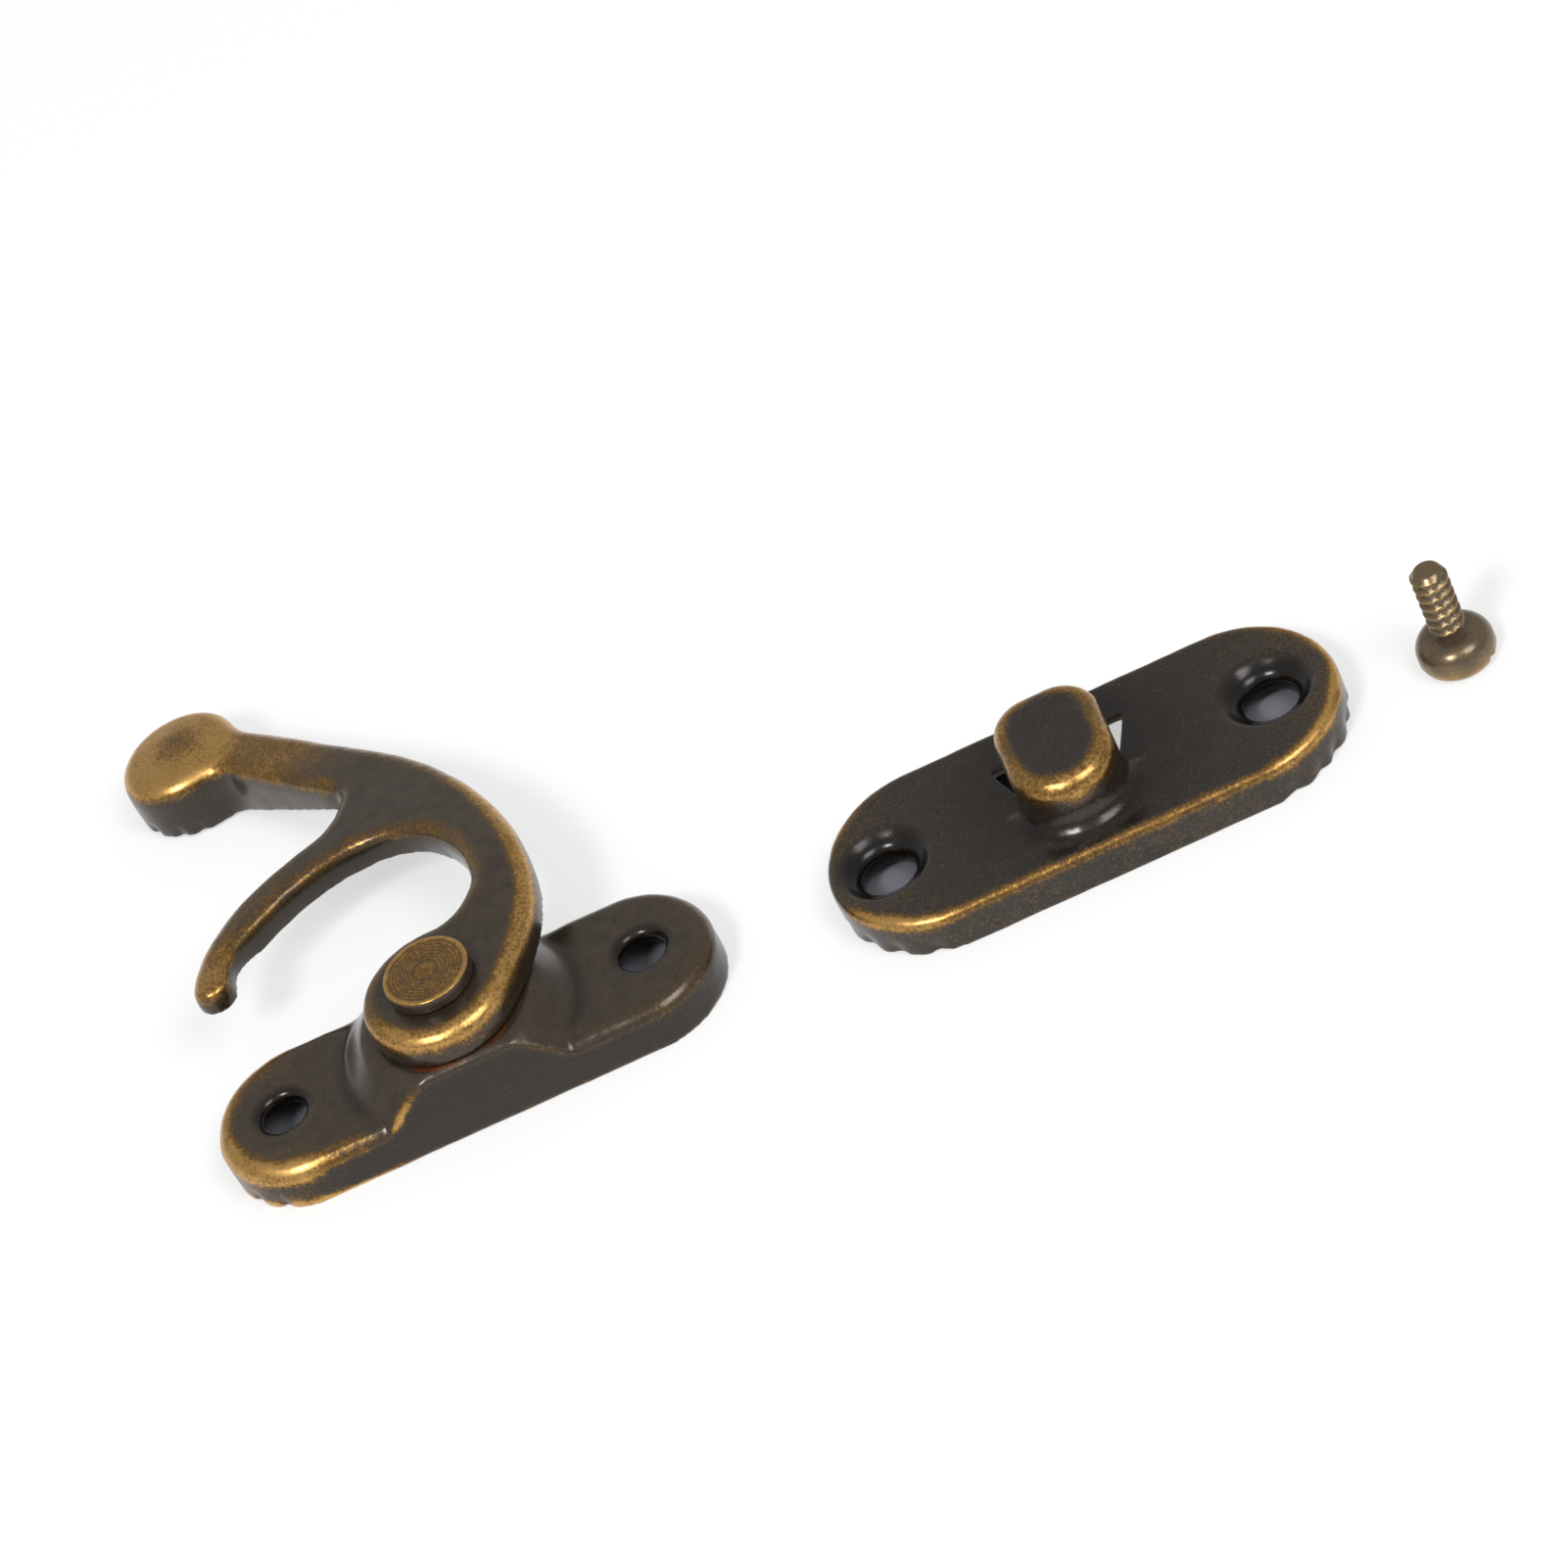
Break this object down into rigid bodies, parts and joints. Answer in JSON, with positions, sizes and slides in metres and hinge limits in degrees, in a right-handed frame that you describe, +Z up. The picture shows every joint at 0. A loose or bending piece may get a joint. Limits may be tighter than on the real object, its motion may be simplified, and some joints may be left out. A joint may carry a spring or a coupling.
{
  "type": "hasp latch",
  "caption": "Small antique-bronze box latch: a riveted swing hook on a bossed plate, a catch plate with a lanced keeper, and a fixing screw.",
  "frame": {"origin": "foot of the pivot axis, in the middle of the hook plate, on the plane that both plates are mounted on", "axes": "+X along the hook plate towards the catch plate, +Y towards the thumb knob, +Z up the pivot axis off the mounting plane"},
  "size_m": [0.0708, 0.0401, 0.0076],
  "materials": {
    "antique_bronze_plate": "steel sheet, antique-bronze plating, burnished at the rims",
    "antique_bronze_hook": "steel sheet, antique-bronze plating, burnished at the rims, knob and tongue",
    "antique_bronze_rivet": "turned steel, antique-bronze plating",
    "antique_bronze_catch": "steel sheet, antique-bronze plating, burnished at the rims",
    "antique_bronze_screw": "steel, antique-bronze plating, worn on the thread's crests"
  },
  "bodies": {
    "base": {"hook_plate": "antique_bronze_plate", "pivot_rivet": "antique_bronze_rivet", "catch_plate": "antique_bronze_catch", "wood_screw": "antique_bronze_screw"},
    "hook": {"swing_hook": "antique_bronze_hook"}
  },
  "joints": [
    {"name": "hook_pivot", "type": "hinge", "parent": "base", "child": "hook", "pos_m": [0, 0, 0], "axis": [0, 0, 1], "range_deg": [-80, 220]}
  ]
}
